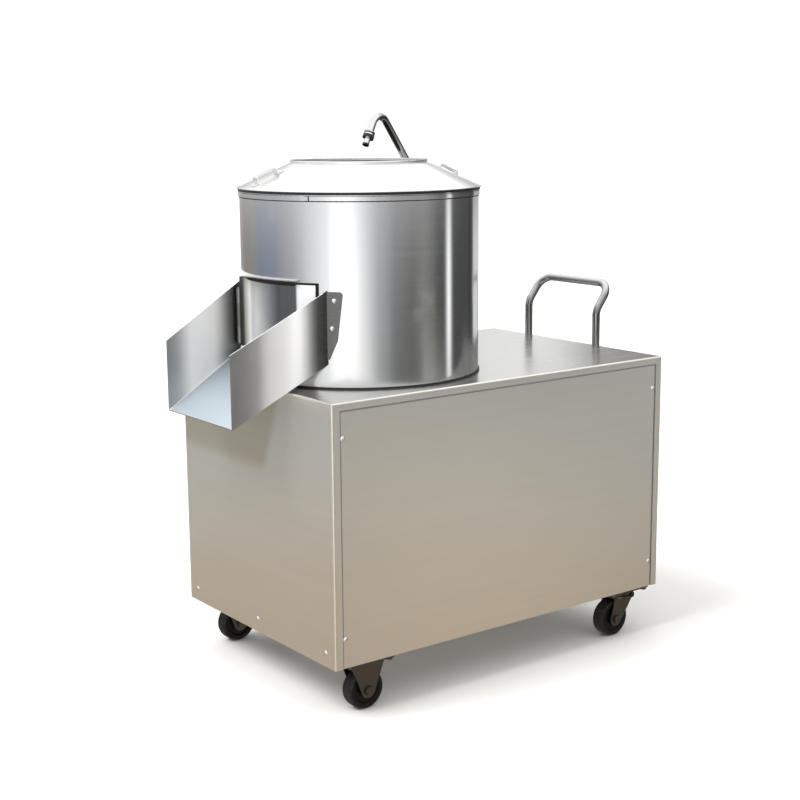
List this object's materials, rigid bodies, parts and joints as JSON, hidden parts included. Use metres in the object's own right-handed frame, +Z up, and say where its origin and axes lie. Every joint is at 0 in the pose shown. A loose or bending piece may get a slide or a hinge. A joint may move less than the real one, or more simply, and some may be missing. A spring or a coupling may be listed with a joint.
{
  "type": "electric potato peeler",
  "caption": "Floor-standing drum potato peeler on a castored box, with an abrasive disc, belt drive, splash cover with water spout, discharge door and chute.",
  "frame": {"origin": "centre of the bounding box on the floor", "axes": "+X along the box from the chute end to the push handle, +Y across it to the far side, +Z up"},
  "size_m": [0.828, 0.4578, 0.924],
  "materials": {
    "stainless": "satin brushed stainless sheet",
    "drum_steel": "polished stainless, brushed round",
    "door_steel": "polished stainless",
    "chute_steel": "polished stainless",
    "cover_steel": "spun stainless, bright",
    "tube_steel": "polished stainless tube",
    "nozzle_chrome": "chromed",
    "screw_steel": "bright zinc",
    "frame_paint": "grey paint",
    "cast_iron": "grey casting, machined grooves",
    "shaft_steel": "ground steel",
    "motor_paint": "blue-grey enamel",
    "terminal_plastic": "moulded",
    "black_plastic": "moulded",
    "belt_rubber": "matt rubber",
    "abrasive": "bonded abrasive grit",
    "castor_zinc": "zinc-plated pressed steel",
    "wheel_rubber": "black rubber",
    "brass": "turned brass",
    "switch_steel": "stainless plate",
    "start_green": "green button",
    "stop_red": "red button"
  },
  "bodies": {
    "housing": {"cover_wrap": "stainless", "side_panels": "stainless", "base_plate": "frame_paint", "base_frame": "frame_paint", "corner_posts": "frame_paint", "top_frame": "frame_paint", "panel_screws": "screw_steel", "end_screws": "screw_steel", "bearing_bridge": "frame_paint", "bearing_housing": "cast_iron", "drive_bolts": "screw_steel", "spindle_bearings": "shaft_steel", "shaft_seal": "belt_rubber", "drive_belts": "belt_rubber", "motor_frame": "motor_paint", "motor_shields": "motor_paint", "fan_cowl": "motor_paint", "terminal_box": "terminal_plastic", "motor_plate": "frame_paint", "motor_pillars": "frame_paint", "drum_shell": "drum_steel", "rim_band": "drum_steel", "wall_lining": "abrasive", "drum_floor": "drum_steel", "door_surround": "drum_steel", "hinge_knuckles": "drum_steel", "hinge_pin": "drum_steel", "discharge_chute": "chute_steel", "chute_screws": "screw_steel", "waste_pipe": "tube_steel", "switch_plate": "switch_steel", "contact_blocks": "terminal_plastic", "cable_gland": "black_plastic", "push_handle": "tube_steel", "swivel_plates": "castor_zinc", "castor_bolts": "screw_steel", "fixed_forks": "castor_zinc"},
    "spindle_set": {"spindle": "shaft_steel", "drum_pulley": "cast_iron", "abrasive_disc": "abrasive", "disc_nut": "shaft_steel"},
    "rotor": {"motor_shaft": "shaft_steel", "motor_pulley": "cast_iron", "motor_fan": "black_plastic"},
    "door": {"discharge_door": "door_steel"},
    "latch": {"door_latch": "black_plastic"},
    "cover": {"splash_cover": "cover_steel", "cover_straps": "cover_steel", "water_pipe": "tube_steel", "pipe_clips": "cover_steel", "spout_nozzle": "nozzle_chrome", "hose_tail": "brass"},
    "start": {"start_button": "start_green"},
    "stop": {"stop_button": "stop_red"},
    "swivel_near": {"swivel_fork_near": "castor_zinc"},
    "swivel_far": {"swivel_fork_far": "castor_zinc"},
    "fixed_wheel_near": {"wheel_fixed_near": "wheel_rubber"},
    "fixed_wheel_far": {"wheel_fixed_far": "wheel_rubber"},
    "swivel_wheel_near": {"wheel_swivel_near": "wheel_rubber"},
    "swivel_wheel_far": {"wheel_swivel_far": "wheel_rubber"}
  },
  "joints": [
    {"name": "spindle_spin", "type": "hinge", "parent": "housing", "child": "spindle_set", "pos_m": [-0.103, 0, 0.502], "axis": [0, 0, 1], "continuous": true},
    {"name": "rotor_spin", "type": "hinge", "parent": "housing", "child": "rotor", "pos_m": [0.197, 0, 0.252], "axis": [0, 0, 1], "continuous": true},
    {"name": "door_swing", "type": "hinge", "parent": "housing", "child": "door", "pos_m": [-0.26931, 0.1143, 0.607], "axis": [0, 0, -1], "range_deg": [0, 65]},
    {"name": "latch_turn", "type": "hinge", "parent": "door", "child": "latch", "pos_m": [-0.27453, -0.09586, 0.592], "axis": [-0.8729, -0.4879, 0], "range_deg": [0, 90]},
    {"name": "cover_lift", "type": "slide", "parent": "housing", "child": "cover", "axis": [0, 0, 1], "range_m": [0, 0.06]},
    {"name": "start_press", "type": "slide", "parent": "housing", "child": "start", "axis": [-1, 0, 0], "range_m": [0, 0.004], "stiffness_N_per_m": 800, "springref_m": -0.002},
    {"name": "stop_press", "type": "slide", "parent": "housing", "child": "stop", "axis": [-1, 0, 0], "range_m": [0, 0.004], "stiffness_N_per_m": 800, "springref_m": -0.002},
    {"name": "swivel_turn_near", "type": "hinge", "parent": "housing", "child": "swivel_near", "pos_m": [0.322, -0.196, 0.078], "axis": [0, 0, 1], "continuous": true},
    {"name": "swivel_turn_far", "type": "hinge", "parent": "housing", "child": "swivel_far", "pos_m": [0.322, 0.196, 0.078], "axis": [0, 0, 1], "continuous": true},
    {"name": "wheel_spin_fixed_near", "type": "hinge", "parent": "housing", "child": "fixed_wheel_near", "pos_m": [-0.246, -0.196, 0.0325], "axis": [0, 1, 0], "continuous": true},
    {"name": "wheel_spin_fixed_far", "type": "hinge", "parent": "housing", "child": "fixed_wheel_far", "pos_m": [-0.246, 0.196, 0.0325], "axis": [0, 1, 0], "continuous": true},
    {"name": "wheel_spin_swivel_near", "type": "hinge", "parent": "swivel_near", "child": "swivel_wheel_near", "pos_m": [0.298, -0.196, 0.0325], "axis": [0, 1, 0], "continuous": true},
    {"name": "wheel_spin_swivel_far", "type": "hinge", "parent": "swivel_far", "child": "swivel_wheel_far", "pos_m": [0.298, 0.196, 0.0325], "axis": [0, 1, 0], "continuous": true}
  ],
  "couplings": [
    {"joint": "rotor_spin", "follows": "spindle_spin", "ratio": 4}
  ]
}
